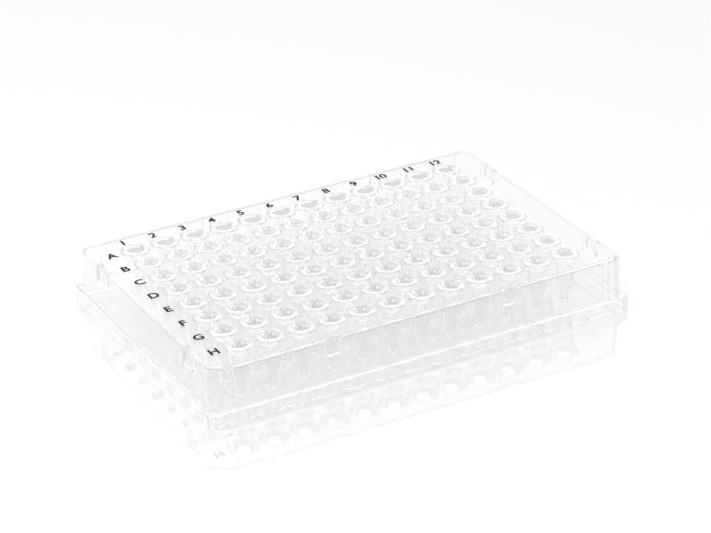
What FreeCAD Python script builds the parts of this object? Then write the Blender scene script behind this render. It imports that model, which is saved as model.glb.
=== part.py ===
import FreeCAD, Part
import math
import os

import Sketcher

# A clear 96-well plate with a full skirt, moulded in one piece: a flange to stand on, a drafted
# wall with a ledge at its foot, a flat deck, and 96 thin conical tubes with raised collars.
# Frame: origin at the centre of the footprint, on the surface the plate stands on; +Z up,
# +X along the rows towards column 12, +Y across them towards row A. Millimetres.

DRIVING_SIZES = (
    ("plate_length", 127.76, "footprint along a row of wells"),
    ("plate_width", 85.48, "footprint across the rows"),
    ("plate_height", 15.9, "from the base to the rims of the wells"),
    ("base_corner", 2.2, "corner radius of the flange"),
    ("flange_height", 3.8, "from the base to the ledge"),
    ("flange_wall", 1.2, "thickness of the flange's upright part"),
    ("ledge_thick", 1.0, "thickness of the ledge"),
    ("ledge_width", 1.1, "step from the flange in to the wall, at the base plane"),
    ("wall_draft", 2.4, "lean of the wall, in degrees"),
    ("wall_thick", 1.0, "thickness of the wall"),
    ("wall_corner", 3.0, "corner radius of the wall"),
    ("edge_round", 0.35, "rounding along the ledge"),
    ("deck_round", 0.85, "rounding along the deck's edge"),
    ("ceiling_round", 0.35, "rounding under the deck, where it meets the wall"),
    ("cut_along", 5.6, "corner cut at well H1, along the row"),
    ("cut_across", 3.9, "corner cut at well H1, across the rows"),
    ("collar_height", 0.5, "height of the rims above the deck"),
    ("deck_thick", 1.0, "thickness of the deck"),
    ("well_pitch", 9.0, "distance between wells, both ways"),
    ("well_columns", 12, "wells in a row"),
    ("well_rows", 8, "rows of wells"),
    ("collar_foot", 4.1, "collar's outer radius on the deck"),
    ("collar_crown", 3.95, "collar's outer radius at its rim"),
    ("mouth_radius", 2.55, "well's inner radius just inside the rim"),
    ("rim_bevel", 0.15, "bevel on both sides of the rim"),
    ("flare_height", 1.2, "height of the flare from the deck down to the tube"),
    ("neck_radius", 2.9, "tube's outer radius under the flare"),
    ("knee_radius", 2.5, "tube's outer radius where the cone begins"),
    ("knee_height", 8.0, "height of that place above the base plane"),
    ("tip_radius", 1.25, "tube's outer radius just above its tip"),
    ("tip_bevel", 0.5, "bevel around the tip"),
    ("tip_height", 0.7, "clear height under the tip"),
    ("tube_wall", 0.45, "thickness of the tube"),
    ("notch_spread", 54.0, "distance between the two notches of a side"),
    ("notch_width", 4.2, "width of a notch"),
    ("notch_depth", 1.45, "depth of a notch, from the wall's foot inwards"),
    ("notch_floor", 11.2, "height of a notch's floor"),
    ("groove_spread", 113.4, "distance between the two grooves of a long side"),
    ("groove_width", 1.8, "width of a groove"),
    ("groove_depth", 0.45, "depth of a groove, all the way up"),
)
SPARE = 1.0         # how far a cutting shape runs on past the face it opens
NEAR = 0.001        # two heights closer than this are the same
START = 1
END = 2
ORIGIN = -1
UPRIGHT_AXIS = -2
ON_AXIS = 0


class Size:
    """A value worked out from the sheet, with the expression that keeps it current."""

    def __init__(self, value, text):
        self.value = value
        self.text = text

    def joined(self, sign, other, value):
        text = other.text if isinstance(other, Size) else repr(other)
        return Size(value, "(%s %s %s)" % (self.text, sign, text))

    def __add__(self, other):
        return self.joined("+", other, self.value + number_of(other))

    def __sub__(self, other):
        return self.joined("-", other, self.value - number_of(other))

    def __mul__(self, other):
        return self.joined("*", other, self.value * number_of(other))

    def __truediv__(self, other):
        return self.joined("/", other, self.value / number_of(other))

    def __neg__(self):
        return Size(-self.value, "(0 - %s)" % self.text)


def number_of(item):
    """The number in a Size, or a plain number as it is."""
    return item.value if isinstance(item, Size) else item


def tangent(angle):
    """The tangent of an angle given in degrees."""
    return Size(math.tan(math.radians(angle.value)), "tan(%s)" % angle.text)


def square_root(square):
    return Size(math.sqrt(square.value), "sqrt(%s)" % square.text)


NO_LENGTH = Size(0.0, "0")


def make_sheet(doc):
    """The spreadsheet of driving sizes, and each of them as a Size under its own name."""
    sheet = doc.addObject("Spreadsheet::Sheet", "Sizes")
    sizes = {}
    for row, (alias, value, note) in enumerate(DRIVING_SIZES, 1):
        sheet.set("A%d" % row, alias)
        sheet.set("B%d" % row, str(value))
        sheet.setAlias("B%d" % row, alias)
        sheet.set("C%d" % row, note)
        sizes[alias] = Size(value, "Sizes." + alias)
    return sizes


def origin_part(role):
    """One of the body's own planes or axes."""
    return [part for part in plate.Origin.OriginFeatures if part.Role == role][0]


def new_sketch(name, role, **shifts):
    """A sketch on one of the body's planes, moved by a size along the sketch's own axes."""
    sketch = plate.newObject("Sketcher::SketchObject", name)
    sketch.AttachmentSupport = (origin_part(role), [""])
    sketch.MapMode = "FlatFace"
    for axis, shift in shifts.items():
        sketch.setExpression("AttachmentOffset.Base." + axis, shift.text)
    return sketch


def hold(sketch, line, kind, distance):
    """Keep the start of a line at a signed distance from the sketch's origin."""
    ends = [(ORIGIN, START), (line, START)]
    if distance.value < 0:
        ends.reverse()
        distance = -distance
    rule = Sketcher.Constraint(kind, *ends[0], *ends[1], distance.value)
    number = sketch.addConstraint(rule)
    sketch.setExpression("Constraints[%d]" % number, distance.text)


def hold_x(sketch, line, x):
    """Keep the start of a line at its distance from the upright axis, or on it."""
    if x is ON_AXIS:
        sketch.addConstraint(Sketcher.Constraint("PointOnObject", line, START, UPRIGHT_AXIS))
    else:
        hold(sketch, line, "DistanceX", x)


def add_lines(sketch, corners):
    """A closed loop of straight lines, each line's start held to its corner's two sizes."""
    points = [FreeCAD.Vector(number_of(x), y.value, 0) for x, y in corners]
    lines = [sketch.addGeometry(Part.LineSegment(start, end), False)
             for start, end in zip(points, points[1:] + points[:1])]
    for line, follower in zip(lines, lines[1:] + lines[:1]):
        sketch.addConstraint(Sketcher.Constraint("Coincident", line, END, follower, START))
    for line, (x, y) in zip(lines, corners):
        hold_x(sketch, line, x)
        hold(sketch, line, "DistanceY", y)


def add_box(sketch, low_x, high_x, low_y, high_y):
    add_lines(sketch, [(low_x, low_y), (high_x, low_y), (high_x, high_y), (low_x, high_y)])


def skirt_outline(sketch, inset):
    """The wall's outline with its corner cut at H1, moved in by a size from the wall's foot."""
    half_x = size["plate_length"] / 2 - size["ledge_width"] - inset
    half_y = size["plate_width"] / 2 - size["ledge_width"] - inset
    along = size["cut_along"]
    across = size["cut_across"]
    slant = square_root(along * along + across * across)
    cut_x = along - inset + inset * (slant - along) / across
    cut_y = across - inset + inset * (slant - across) / along
    add_lines(sketch, [(-half_x + cut_x, -half_y), (half_x, -half_y), (half_x, half_y),
                       (-half_x, half_y), (-half_x, -half_y + cut_y)])


def raise_or_cut(kind, name, sketch, length, down=False, draft=None):
    """Pad or pocket a sketch by a size: upwards, or downwards."""
    feature = plate.newObject("PartDesign::" + kind, name)
    feature.Profile = sketch
    feature.Type = 0
    feature.setExpression("Length", length.text)
    feature.Reversed = down if kind == "Pad" else not down
    if draft:
        feature.setExpression("TaperAngle", draft.text)
    doc.recompute()
    return feature


def edges_between(feature, low, high):
    """Names of a feature's edges that span exactly these two heights."""
    names = []
    for number, edge in enumerate(feature.Shape.Edges, 1):
        box = edge.BoundBox
        if abs(box.ZMin - low.value) < NEAR and abs(box.ZMax - high.value) < NEAR:
            names.append("Edge%d" % number)
    return names


def round_edges(name, feature, names, radius):
    fillet = plate.newObject("PartDesign::Fillet", name)
    fillet.Base = (feature, names)
    fillet.setExpression("Radius", radius.text)
    doc.recompute()
    return fillet


def make_flange():
    """The foot of the skirt: the plate's whole footprint, rounded at its corners and top."""
    sketch = new_sketch("FlangeOutline", "XY_Plane")
    half_x = size["plate_length"] / 2
    half_y = size["plate_width"] / 2
    add_box(sketch, -half_x, half_x, -half_y, half_y)
    flange = raise_or_cut("Pad", "Flange", sketch, size["flange_height"])
    upright = edges_between(flange, NO_LENGTH, size["flange_height"])
    rounded = round_edges("FlangeCorners", flange, upright, size["base_corner"])
    top = edges_between(rounded, size["flange_height"], size["flange_height"])
    round_edges("LedgeEdge", rounded, top, size["edge_round"])


def make_wall():
    """The drafted block above the ledge, with its corner cut at H1, rounded as the flange is."""
    sketch = new_sketch("WallOutline", "XY_Plane")
    skirt_outline(sketch, NO_LENGTH)
    wall = raise_or_cut("Pad", "Wall", sketch, deck_top, draft=-size["wall_draft"])
    upright = edges_between(wall, size["flange_height"], deck_top)
    rounded = round_edges("WallCorners", wall, upright, size["wall_corner"])
    top = edges_between(rounded, deck_top, deck_top)
    round_edges("DeckEdge", rounded, top, size["deck_round"])


def hollow_skirt():
    """The plate is open underneath, up to the deck, with an even wall all round."""
    sketch = new_sketch("CavityOutline", "XY_Plane")
    skirt_outline(sketch, size["wall_thick"])
    cavity = raise_or_cut("Pocket", "Cavity", sketch, deck_bottom, draft=-size["wall_draft"])
    inner = edges_between(cavity, NO_LENGTH, deck_bottom)
    rounded = round_edges("CavityCorners", cavity, inner, size["wall_corner"] - size["wall_thick"])
    ceiling = edges_between(rounded, deck_bottom, deck_bottom)
    round_edges("CeilingEdge", rounded, ceiling, size["ceiling_round"])
    sketch = new_sketch("FlangeCavityOutline", "XY_Plane")
    half_x = size["plate_length"] / 2 - size["flange_wall"]
    half_y = size["plate_width"] / 2 - size["flange_wall"]
    add_box(sketch, -half_x, half_x, -half_y, half_y)
    under_ledge = size["flange_height"] - size["ledge_thick"]
    cavity = raise_or_cut("Pocket", "FlangeCavity", sketch, under_ledge)
    inner = edges_between(cavity, NO_LENGTH, under_ledge)
    round_edges("FlangeCavityCorners", cavity, inner, size["base_corner"] - size["flange_wall"])


def notch_boxes(sketch, width, outer, inner):
    """Two boxes along each side, from outer to inner, measured in from the wall's foot."""
    half_x = size["plate_length"] / 2 - size["ledge_width"]
    half_y = size["plate_width"] / 2 - size["ledge_width"]
    for centre in (-size["notch_spread"] / 2, size["notch_spread"] / 2):
        span = (centre - width / 2, centre + width / 2)
        add_box(sketch, *span, half_y - inner, half_y - outer)
        add_box(sketch, *span, -half_y + outer, -half_y + inner)
        add_box(sketch, half_x - inner, half_x - outer, *span)
        add_box(sketch, -half_x + outer, -half_x + inner, *span)


def make_notches():
    """Eight notches in the deck's edge, each with a pocket of even wall thickness behind it."""
    thick = size["wall_thick"]
    mid_wall = deck_top * tangent(size["wall_draft"]) + thick / 2
    sketch = new_sketch("NotchBacks", "XY_Plane", z=size["notch_floor"] - thick)
    notch_boxes(sketch, size["notch_width"] + thick * 2, mid_wall, size["notch_depth"] + thick)
    rise = deck_bottom - size["notch_floor"] + thick + size["deck_thick"] / 2
    raise_or_cut("Pad", "NotchPockets", sketch, rise)
    sketch = new_sketch("NotchOutlines", "XY_Plane", z=size["notch_floor"])
    notch_boxes(sketch, size["notch_width"], NO_LENGTH - SPARE, size["notch_depth"])
    raise_or_cut("Pocket", "Notches", sketch, deck_top - size["notch_floor"] + SPARE)


def make_grooves():
    """Two shallow upright grooves near the ends of each long side, following the wall's lean."""
    low = size["flange_height"]
    high = deck_top + SPARE
    lean = tangent(size["wall_draft"])
    outer = size["plate_width"] / 2
    floor = outer - size["ledge_width"] - size["groove_depth"]
    for name, side in (("Left", -size["groove_spread"]), ("Right", size["groove_spread"])):
        start = side / 2 - size["groove_width"] / 2
        sketch = new_sketch(name + "GrooveOutlines", "YZ_Plane", z=start)
        add_lines(sketch, [(floor - low * lean, low), (outer, low),
                           (outer, high), (floor - high * lean, high)])
        add_lines(sketch, [(low * lean - floor, low), (-outer, low),
                           (-outer, high), (high * lean - floor, high)])
        raise_or_cut("Pocket", name + "Grooves", sketch, size["groove_width"])


def tube_profile(name, corners):
    """Half a tube's outline on the XZ plane, from the top down to the tip, closed along its axis."""
    sketch = new_sketch(name, "XZ_Plane", x=first_well_x, z=-first_well_y)
    add_lines(sketch, corners)
    return sketch


def turn_profile(kind, name, sketch):
    """Revolve or groove a profile a full turn about its own upright axis."""
    feature = plate.newObject("PartDesign::" + kind, name)
    feature.Profile = sketch
    feature.ReferenceAxis = (sketch, ["V_Axis"])
    feature.Angle = 360
    doc.recompute()
    return feature


def make_wells():
    """One collared tube and its bore at H1, then all the others in a grid."""
    top = size["plate_height"]
    neck_height = deck_bottom - size["flare_height"]
    bevel = size["rim_bevel"]
    outside = [(ON_AXIS, top), (size["collar_crown"] - bevel, top),
               (size["collar_crown"], top - bevel), (size["collar_foot"], deck_top),
               (size["collar_foot"], deck_bottom), (size["neck_radius"], neck_height),
               (size["knee_radius"], size["knee_height"]),
               (size["tip_radius"], size["tip_height"] + size["tip_bevel"]),
               (size["tip_radius"] - size["tip_bevel"], size["tip_height"]),
               (ON_AXIS, size["tip_height"])]
    profile = tube_profile("TubeProfile", outside)
    tube = turn_profile("Revolution", "Tube", profile)
    wall = size["tube_wall"]
    mouth = size["mouth_radius"] + bevel
    bottom = size["tip_height"] + wall
    step = size["tip_bevel"] / 2
    inside = [(ON_AXIS, top + SPARE), (mouth, top + SPARE), (mouth, top),
              (size["mouth_radius"], top - bevel),
              (size["knee_radius"] - wall, size["knee_height"]),
              (size["tip_radius"] - wall, bottom + step),
              (size["tip_radius"] - wall - step, bottom), (ON_AXIS, bottom)]
    profile = tube_profile("BoreProfile", inside)
    bore = turn_profile("Groove", "Bore", profile)
    grid = plate.newObject("PartDesign::LinearPattern", "Wells")
    grid.Originals = [tube, bore]
    grid.Direction = (origin_part("X_Axis"), [""])
    grid.Direction2 = (origin_part("Y_Axis"), [""])
    grid.setExpression("Length", (size["well_pitch"] * (size["well_columns"] - 1)).text)
    grid.setExpression("Length2", (size["well_pitch"] * (size["well_rows"] - 1)).text)
    grid.setExpression("Occurrences", size["well_columns"].text)
    grid.setExpression("Occurrences2", size["well_rows"].text)
    plate.Tip = grid
    doc.recompute()


def check_all():
    """Stop if any feature failed, or the plate isn't one sound solid."""
    for item in doc.Objects:
        if {"Invalid", "Error"} & set(item.State):
            raise RuntimeError("%s failed: %s" % (item.Name, item.State))
    if plate.Shape.isNull() or not plate.Shape.isValid() or len(plate.Shape.Solids) != 1:
        raise RuntimeError("the plate isn't one valid solid")


doc = FreeCAD.newDocument("WellPlate")
size = make_sheet(doc)
doc.recompute()
plate = doc.addObject("PartDesign::Body", "WellPlate")
plate.Label = "well_plate"
deck_top = size["plate_height"] - size["collar_height"]
deck_bottom = deck_top - size["deck_thick"]
first_well_x = -(size["well_pitch"] * (size["well_columns"] - 1) / 2)
first_well_y = -(size["well_pitch"] * (size["well_rows"] - 1) / 2)
make_flange()
make_wall()
hollow_skirt()
make_notches()
make_grooves()
make_wells()
check_all()
os.makedirs("parts", exist_ok=True)
plate.Shape.exportStep("parts/%s.step" % plate.Label)
print("well plate: %.0f cubic mm" % plate.Shape.Volume)
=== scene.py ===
"""The look of a clear 96-well plate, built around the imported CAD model. Metres, in the CAD's frame."""

import math

import bpy
from mathutils import Matrix, Vector

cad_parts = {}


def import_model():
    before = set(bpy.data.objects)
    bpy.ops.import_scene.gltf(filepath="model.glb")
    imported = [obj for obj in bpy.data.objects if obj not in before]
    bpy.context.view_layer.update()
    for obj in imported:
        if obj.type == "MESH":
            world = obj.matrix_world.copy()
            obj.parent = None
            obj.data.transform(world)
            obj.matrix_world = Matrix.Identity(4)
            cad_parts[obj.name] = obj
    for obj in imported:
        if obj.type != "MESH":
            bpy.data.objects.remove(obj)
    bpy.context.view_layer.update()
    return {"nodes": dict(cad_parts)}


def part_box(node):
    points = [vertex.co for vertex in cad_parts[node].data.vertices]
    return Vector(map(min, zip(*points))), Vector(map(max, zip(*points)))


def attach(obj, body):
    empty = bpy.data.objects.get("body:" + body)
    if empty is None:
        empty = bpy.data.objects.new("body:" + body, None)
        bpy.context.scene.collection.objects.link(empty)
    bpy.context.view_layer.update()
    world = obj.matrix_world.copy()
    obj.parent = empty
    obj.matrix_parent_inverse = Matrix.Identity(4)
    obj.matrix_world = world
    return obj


MM = 0.001

# The plate, as its source has it.
WELL_PITCH = 9.0 * MM
ROWS = "ABCDEFGH"
COLUMNS = 12
COLLAR_HEIGHT = 0.5 * MM

# The labels: where they stand on the deck, and how large and heavy they are.
LABEL_HEIGHT = 3.0 * MM
LABEL_STRETCH = 1.02            # how much wider they are than the plain type
LABEL_THICKNESS = 0.02 * MM
LABEL_LIFT = LABEL_THICKNESS * 2    # how far the top of the ink stands above the deck
LABEL_WEIGHT = 0.03             # how far the strokes are fattened, as a share of the type size
DIGIT_SPACING = 0.92            # how close the digits of 10, 11 and 12 stand, against the plain type
ROW_LABEL_X = -56.6 * MM
COLUMN_LABEL_X = -0.65 * MM     # the middle of the column labels
COLUMN_LABEL_Y = 37.3 * MM
COLUMN_LABEL_PITCH = 9.09 * MM

# The clear plastic. The shadow level is what each surface lets through on the way to the floor.
PLASTIC_TINT = (0.975, 0.978, 0.98, 1.0)
PLASTIC_IOR = 1.49
ROUGHEST = 0.012
FLOW_SCALE = 90.0
FLOW_LOW = 0.3                  # where the flow noise gives a perfect polish
FLOW_HIGH = 0.7                 # and where it gives the roughest
RIPPLE_SCALE = 260.0
RIPPLE_STRENGTH = 0.03
RIPPLE_HEIGHT = 0.05 * MM
SHADOW_LEVEL = 0.96

# The label ink.
INK_DARK = (0.006, 0.006, 0.007, 1.0)
INK_PALE = (0.022, 0.022, 0.024, 1.0)
INK_GRAIN = 2500.0
INK_ROUGHNESS = 0.6
INK_SPECULAR = 0.1

# The floor: a square about the plate, a hair under it.
FLOOR_LEVEL = 0.87
FLOOR_ROUGHNESS = 0.07
FLOOR_IOR = 3.4
FLOOR_HALF = 1.5
FLOOR_GAP = 0.02 * MM

# The studio's light comes most from here: from above, and from +Y, behind the plate. The steps
# give a direction's share of it (its dot product with BRIGHT_SIDE) and the grey level there, and
# the ends are the levels at shares 0 and 1.
BRIGHT_SIDE = (0.0, 0.27, 0.85)
LIGHT_ENDS = (0.35, 1.0)
LIGHT_STEPS = ((0.45, 0.46), (0.70, 0.95))
LIGHT_STRENGTH = 1.54

# The camera: where it looks, and from where.
AIM = Vector((11.6, 17.9, 0.0)) * MM
AZIMUTH = -28.23
ELEVATION = 27.12
ROLL = -1.43
DISTANCE = 771.5 * MM
LENS = 138.3
SENSOR = 36.0

BOUNCES = 128                   # light crosses many clear walls, and turns back inside them
DIFFUSE_BOUNCES = 4


def new_material(name):
    """A node material: its node tree, its Principled shader and its output node."""
    material = bpy.data.materials.new(name)
    material.use_nodes = True
    nodes = material.node_tree.nodes
    return material, nodes["Principled BSDF"], nodes["Material Output"]


def add_node(material, kind, **values):
    """A node of a kind, with some of its inputs or properties set."""
    node = material.node_tree.nodes.new(kind)
    for name, value in values.items():
        socket = node.inputs.get(name.replace("_", " ").title())
        if socket is None:
            setattr(node, name, value)
        else:
            socket.default_value = value
    return node


def grey(level):
    return (level, level, level, 1.0)


def link(material, source, target):
    material.node_tree.links.new(source, target)


def clear_plastic():
    """Clear glossy plastic, with the faint ripple and uneven polish of a moulding."""
    material, shader, output = new_material("clear_plastic")
    shader.inputs["Base Color"].default_value = PLASTIC_TINT
    shader.inputs["IOR"].default_value = PLASTIC_IOR
    shader.inputs["Transmission Weight"].default_value = 1.0
    place = add_node(material, "ShaderNodeTexCoord").outputs["Object"]

    flow = add_node(material, "ShaderNodeTexNoise", scale=FLOW_SCALE, detail=3.0)
    link(material, place, flow.inputs["Vector"])
    polish = add_node(material, "ShaderNodeMapRange",
                      from_min=FLOW_LOW, from_max=FLOW_HIGH, to_min=0.0, to_max=ROUGHEST)
    link(material, flow.outputs["Fac"], polish.inputs["Value"])
    link(material, polish.outputs["Result"], shader.inputs["Roughness"])

    ripple = add_node(material, "ShaderNodeTexNoise", scale=RIPPLE_SCALE, detail=2.0)
    link(material, place, ripple.inputs["Vector"])
    bump = add_node(material, "ShaderNodeBump", strength=RIPPLE_STRENGTH, distance=RIPPLE_HEIGHT)
    link(material, ripple.outputs["Fac"], bump.inputs["Height"])
    link(material, bump.outputs["Normal"], shader.inputs["Normal"])
    let_light_through(material, shader, output)
    return material


def let_light_through(material, shader, output):
    """Light on its way to the floor goes straight through, so that the plate's shadow is pale."""
    path = add_node(material, "ShaderNodeLightPath")
    passing = add_node(material, "ShaderNodeMath", operation="MAXIMUM")
    link(material, path.outputs["Is Shadow Ray"], passing.inputs[0])
    link(material, path.outputs["Is Diffuse Ray"], passing.inputs[1])
    through = add_node(material, "ShaderNodeBsdfTransparent", color=grey(SHADOW_LEVEL))
    mix = add_node(material, "ShaderNodeMixShader")
    link(material, passing.outputs["Value"], mix.inputs[0])
    link(material, shader.outputs["BSDF"], mix.inputs[1])
    link(material, through.outputs["BSDF"], mix.inputs[2])
    link(material, mix.outputs["Shader"], output.inputs["Surface"])


def label_ink():
    """Black pad-printed ink: matt, with a slightly uneven film."""
    material, shader, _ = new_material("label_ink")
    place = add_node(material, "ShaderNodeTexCoord")
    film = add_node(material, "ShaderNodeTexNoise", scale=INK_GRAIN, detail=2.0)
    link(material, place.outputs["Object"], film.inputs["Vector"])
    shade = add_node(material, "ShaderNodeValToRGB")
    shade.color_ramp.elements[0].color = INK_DARK
    shade.color_ramp.elements[1].color = INK_PALE
    link(material, film.outputs["Fac"], shade.inputs["Fac"])
    link(material, shade.outputs["Color"], shader.inputs["Base Color"])
    shader.inputs["Roughness"].default_value = INK_ROUGHNESS
    shader.inputs["Specular IOR Level"].default_value = INK_SPECULAR
    return material


def pale_floor():
    """A pale, glossy table top that mirrors the plate faintly."""
    material, shader, _ = new_material("pale_floor")
    shader.inputs["Base Color"].default_value = grey(FLOOR_LEVEL)
    shader.inputs["Roughness"].default_value = FLOOR_ROUGHNESS
    shader.inputs["IOR"].default_value = FLOOR_IOR
    return material


def add_label(text, x, y, deck, ink):
    """One label lying on the deck, centred on its place, as a thin mesh of ink."""
    curve = bpy.data.curves.new("label_" + text, "FONT")
    curve.body = text
    curve.align_x = "CENTER"
    curve.align_y = "CENTER"
    curve.size = 1.0
    curve.resolution_u = 6
    curve.offset = LABEL_WEIGHT
    curve.space_character = DIGIT_SPACING
    lettering = bpy.data.objects.new("label_" + text, curve)
    bpy.context.scene.collection.objects.link(lettering)
    bpy.context.view_layer.update()
    evaluated = lettering.evaluated_get(bpy.context.evaluated_depsgraph_get())
    mesh = bpy.data.meshes.new_from_object(evaluated)
    bpy.data.objects.remove(lettering)

    low = Vector(map(min, zip(*(v.co for v in mesh.vertices))))
    high = Vector(map(max, zip(*(v.co for v in mesh.vertices))))
    middle = (low + high) / 2
    scale = LABEL_HEIGHT / (high.y - low.y)
    mesh.transform(Matrix.Translation((x, y, deck + LABEL_LIFT))
                   @ Matrix.Diagonal((scale * LABEL_STRETCH, scale, scale, 1.0))
                   @ Matrix.Translation(-middle))
    mesh.materials.clear()
    mesh.materials.append(ink)
    label = bpy.data.objects.new("label_" + text, mesh)
    bpy.context.scene.collection.objects.link(label)
    solid = label.modifiers.new("ink film", "SOLIDIFY")
    solid.thickness = LABEL_THICKNESS
    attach(label, "root")


def add_labels(deck):
    """Letters down the left side of the deck, and numbers along its back."""
    ink = label_ink()
    for row, letter in enumerate(ROWS):
        y = ((len(ROWS) - 1) / 2 - row) * WELL_PITCH
        add_label(letter, ROW_LABEL_X, y, deck, ink)
    for column in range(COLUMNS):
        x = COLUMN_LABEL_X + (column - (COLUMNS - 1) / 2) * COLUMN_LABEL_PITCH
        add_label(str(column + 1), x, COLUMN_LABEL_Y, deck, ink)


def add_floor():
    mesh = bpy.data.meshes.new("floor")
    corners = [(x * FLOOR_HALF, y * FLOOR_HALF, 0) for x, y in ((-1, -1), (1, -1), (1, 1), (-1, 1))]
    mesh.from_pydata(corners, [], [(0, 1, 2, 3)])
    mesh.materials.append(pale_floor())
    floor = bpy.data.objects.new("floor", mesh)
    floor.location.z = -FLOOR_GAP
    bpy.context.scene.collection.objects.link(floor)


def light_studio():
    """Soft light, white from above and behind, fading to grey at the front and below."""
    world = bpy.data.worlds.new("studio")
    bpy.context.scene.world = world
    world.use_nodes = True
    tree = world.node_tree
    background = tree.nodes["Background"]
    place = tree.nodes.new("ShaderNodeTexCoord")
    facing = tree.nodes.new("ShaderNodeVectorMath")
    facing.operation = "DOT_PRODUCT"
    facing.inputs[1].default_value = BRIGHT_SIDE
    shade = tree.nodes.new("ShaderNodeValToRGB")
    steps = shade.color_ramp.elements
    for end, level in zip(steps, LIGHT_ENDS):
        end.color = grey(level)
    for share, level in LIGHT_STEPS:
        steps.new(share).color = grey(level)
    tree.links.new(place.outputs["Generated"], facing.inputs[0])
    tree.links.new(facing.outputs["Value"], shade.inputs["Fac"])
    tree.links.new(shade.outputs["Color"], background.inputs["Color"])
    background.inputs["Strength"].default_value = LIGHT_STRENGTH


def add_camera():
    """The camera looks at AIM from AZIMUTH, ELEVATION and DISTANCE, turned about its axis by ROLL."""
    turn = math.radians(AZIMUTH)
    tilt = math.radians(ELEVATION)
    roll = math.radians(ROLL)
    back = Vector((math.sin(turn) * math.cos(tilt), -math.cos(turn) * math.cos(tilt), math.sin(tilt)))
    right = Vector((0, 0, 1)).cross(back).normalized()
    up = back.cross(right)
    leaning_right = right * math.cos(roll) + up * math.sin(roll)
    leaning_up = back.cross(leaning_right)
    lens = bpy.data.cameras.new("camera")
    lens.lens = LENS
    lens.sensor_width = SENSOR
    lens.clip_start = 0.01
    camera = bpy.data.objects.new("camera", lens)
    axes = Matrix((leaning_right, leaning_up, back)).transposed()
    camera.matrix_world = Matrix.Translation(AIM + back * DISTANCE) @ axes.to_4x4()
    bpy.context.scene.collection.objects.link(camera)
    bpy.context.scene.camera = camera


def set_look():
    """Plain colours, and enough bounces for light to pass through many clear walls."""
    scene = bpy.context.scene
    scene.view_settings.view_transform = "Standard"
    scene.cycles.use_denoising = True
    scene.cycles.max_bounces = BOUNCES
    scene.cycles.transmission_bounces = BOUNCES
    scene.cycles.glossy_bounces = BOUNCES
    scene.cycles.diffuse_bounces = DIFFUSE_BOUNCES


def main():
    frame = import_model()
    plate = frame["nodes"]["well_plate"]
    plate.data.materials.clear()
    plate.data.materials.append(clear_plastic())
    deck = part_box("well_plate")[1].z - COLLAR_HEIGHT
    add_labels(deck)
    add_floor()
    light_studio()
    add_camera()
    set_look()


main()
